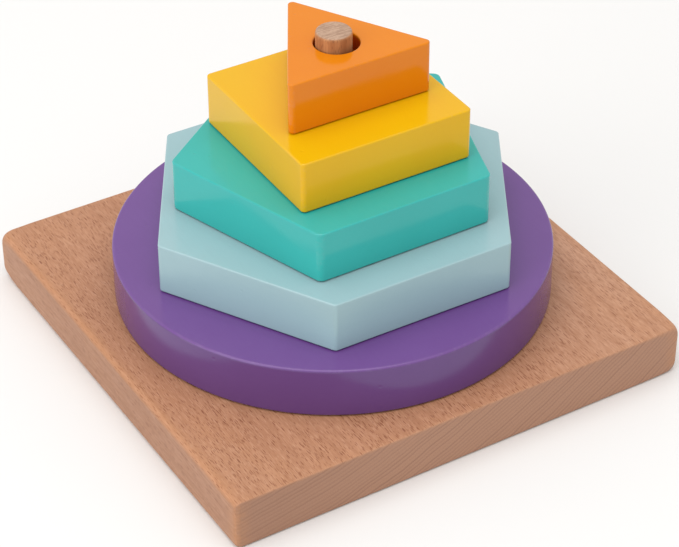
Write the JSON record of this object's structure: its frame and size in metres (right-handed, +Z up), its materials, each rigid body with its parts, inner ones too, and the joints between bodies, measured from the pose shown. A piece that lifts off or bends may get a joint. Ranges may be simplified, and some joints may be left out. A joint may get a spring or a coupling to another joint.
{
  "type": "shape stacking toy",
  "caption": "Wooden stacking toy with painted geometric blocks that lift off a dowel peg standing in a square beech base.",
  "frame": {"origin": "middle of the base board's underside, on the surface that the toy stands on", "axes": "+Z up along the peg; +X and +Y along the base board's edges, with the board's grain along Y and the flat front of every block facing -Y"},
  "size_m": [0.142, 0.1402, 0.0964],
  "materials": {
    "raw_beech": "sanded beech with a thin matt oil, flecked along the grain",
    "dowel_wood": "raw sanded dowel, grey-tan end grain",
    "purple_paint": "purple satin paint on wood",
    "pale_blue_paint": "pale blue satin paint on wood",
    "teal_paint": "teal satin paint on wood",
    "yellow_paint": "yellow satin paint on wood",
    "orange_paint": "orange satin paint on wood"
  },
  "bodies": {
    "base": {"base_board": "raw_beech", "dowel_peg": "dowel_wood"},
    "disc": {"disc_block": "purple_paint"},
    "hexagon": {"hexagon_block": "pale_blue_paint"},
    "pentagon": {"pentagon_block": "teal_paint"},
    "square": {"square_block": "yellow_paint"},
    "triangle": {"triangle_block": "orange_paint"}
  },
  "joints": [
    {"name": "disc_lift", "type": "slide", "parent": "base", "child": "disc", "axis": [0, 0, 1], "range_m": [0, 0.086]},
    {"name": "hexagon_lift", "type": "slide", "parent": "disc", "child": "hexagon", "axis": [0, 0, 1], "range_m": [0, 0.07]},
    {"name": "pentagon_lift", "type": "slide", "parent": "hexagon", "child": "pentagon", "axis": [0, 0, 1], "range_m": [0, 0.055]},
    {"name": "square_lift", "type": "slide", "parent": "pentagon", "child": "square", "axis": [0, 0, 1], "range_m": [0, 0.04]},
    {"name": "triangle_lift", "type": "slide", "parent": "square", "child": "triangle", "axis": [0, 0, 1], "range_m": [0, 0.024]}
  ]
}
